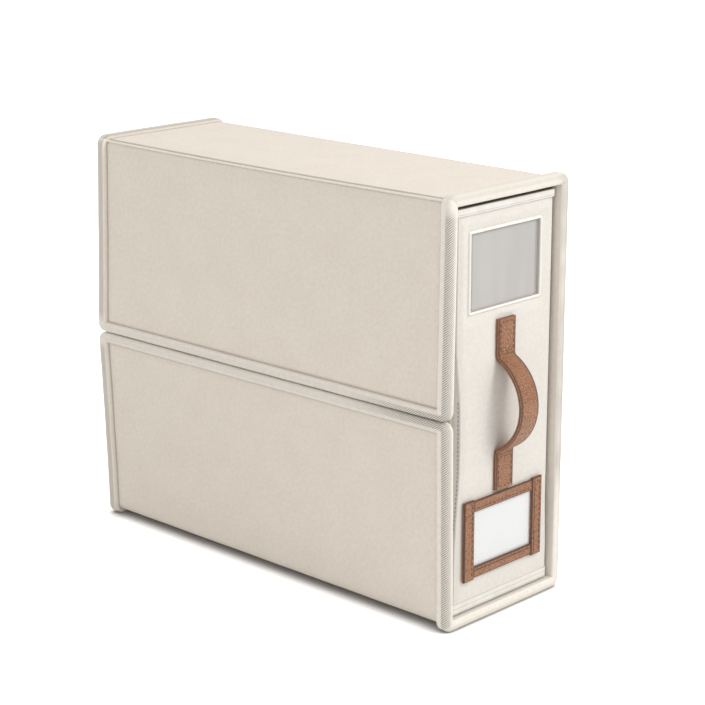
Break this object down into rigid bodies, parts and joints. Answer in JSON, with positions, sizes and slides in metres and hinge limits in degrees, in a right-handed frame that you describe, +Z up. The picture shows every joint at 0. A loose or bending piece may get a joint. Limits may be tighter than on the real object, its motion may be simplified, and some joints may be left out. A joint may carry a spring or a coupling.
{
  "type": "bed sheet organizer",
  "caption": "Upright fabric box for folded bed linen: a stiff fold-open sleeve round a pull-out drawer with window, strap handle and label holder.",
  "frame": {"origin": "on the floor, under the middle of the sleeve's footprint", "axes": "-Y is the front with the drawer's handle, -X the side with the two flaps, +Z up"},
  "size_m": [0.131, 0.3933, 0.318],
  "materials": {
    "sleeve_linen": "beige linen-look weave",
    "binding_tape": "beige twill tape with slanting ribs",
    "sleeve_lining_cloth": "plain off-white non-woven lining",
    "stiff_board": "grey-brown board",
    "bar_magnet": "plated",
    "drawer_front_cloth": "smooth off-white coated cloth",
    "drawer_cloth": "off-white cloth",
    "drawer_hem_cloth": "off-white folded hem",
    "drawer_lining_cloth": "plain non-woven lining",
    "window_film": "hazy clear vinyl",
    "window_piping": "white rolled piping",
    "strap_leather": "tan grained leather",
    "strap_backing": "tan backing leather",
    "frame_leather": "tan grained leather",
    "leather_thread": "dark brown waxed thread",
    "clear_sheet": "clear sheet",
    "card_stock": "white card"
  },
  "bodies": {
    "sleeve": {"base_cover": "sleeve_linen", "base_board": "stiff_board", "base_lining": "sleeve_lining_cloth", "base_front_binding": "binding_tape", "base_rear_binding": "binding_tape", "wall_cover": "sleeve_linen", "wall_board": "stiff_board", "wall_lining": "sleeve_lining_cloth", "wall_front_binding": "binding_tape", "wall_rear_binding": "binding_tape"},
    "lid": {"top_cover": "sleeve_linen", "top_board": "stiff_board", "top_lining": "sleeve_lining_cloth", "top_front_binding": "binding_tape", "top_rear_binding": "binding_tape"},
    "upper_flap": {"upper_flap_cover": "sleeve_linen", "upper_flap_board": "stiff_board", "upper_flap_lining": "sleeve_lining_cloth", "upper_flap_binding": "binding_tape", "upper_flap_magnets": "bar_magnet"},
    "lower_flap": {"lower_flap_cover": "sleeve_linen", "lower_flap_board": "stiff_board", "lower_flap_lining": "sleeve_lining_cloth", "lower_flap_binding": "binding_tape", "lower_flap_magnets": "bar_magnet"},
    "drawer": {"drawer_front_cover": "drawer_front_cloth", "drawer_front_board": "stiff_board", "drawer_front_lining": "drawer_lining_cloth", "drawer_back_cover": "drawer_cloth", "drawer_back_board": "stiff_board", "drawer_back_lining": "drawer_lining_cloth", "drawer_left_cover": "drawer_cloth", "drawer_left_board": "stiff_board", "drawer_left_lining": "drawer_lining_cloth", "drawer_right_cover": "drawer_cloth", "drawer_right_board": "stiff_board", "drawer_right_lining": "drawer_lining_cloth", "drawer_floor_cover": "drawer_cloth", "drawer_floor_board": "stiff_board", "drawer_floor_lining": "drawer_lining_cloth", "drawer_top_hem": "drawer_hem_cloth", "drawer_bottom_hem": "drawer_hem_cloth", "window_film": "window_film", "window_piping": "window_piping", "handle_leather": "strap_leather", "handle_backing": "strap_backing", "handle_lower_stitches": "leather_thread", "handle_upper_stitches": "leather_thread", "label_top_strip": "frame_leather", "label_bottom_strip": "frame_leather", "label_left_strip": "frame_leather", "label_right_strip": "frame_leather", "label_sheet": "clear_sheet", "label_stitches": "leather_thread"},
    "card": {"label_card": "card_stock"}
  },
  "joints": [
    {"name": "drawer_slide", "type": "slide", "parent": "sleeve", "child": "drawer", "axis": [0, -1, 0], "range_m": [0, 0.34]},
    {"name": "lid_hinge", "type": "hinge", "parent": "sleeve", "child": "lid", "pos_m": [0.0635, 0, 0.316], "axis": [0, 1, 0], "range_deg": [0, 180]},
    {"name": "upper_flap_hinge", "type": "hinge", "parent": "lid", "child": "upper_flap", "pos_m": [-0.0635, 0, 0.316], "axis": [0, 1, 0], "range_deg": [0, 180]},
    {"name": "lower_flap_hinge", "type": "hinge", "parent": "sleeve", "child": "lower_flap", "pos_m": [-0.0635, 0, 0.002], "axis": [0, -1, 0], "range_deg": [0, 90]},
    {"name": "label_card_slide", "type": "slide", "parent": "drawer", "child": "card", "axis": [1, 0, 0], "range_m": [0, 0.016]}
  ]
}
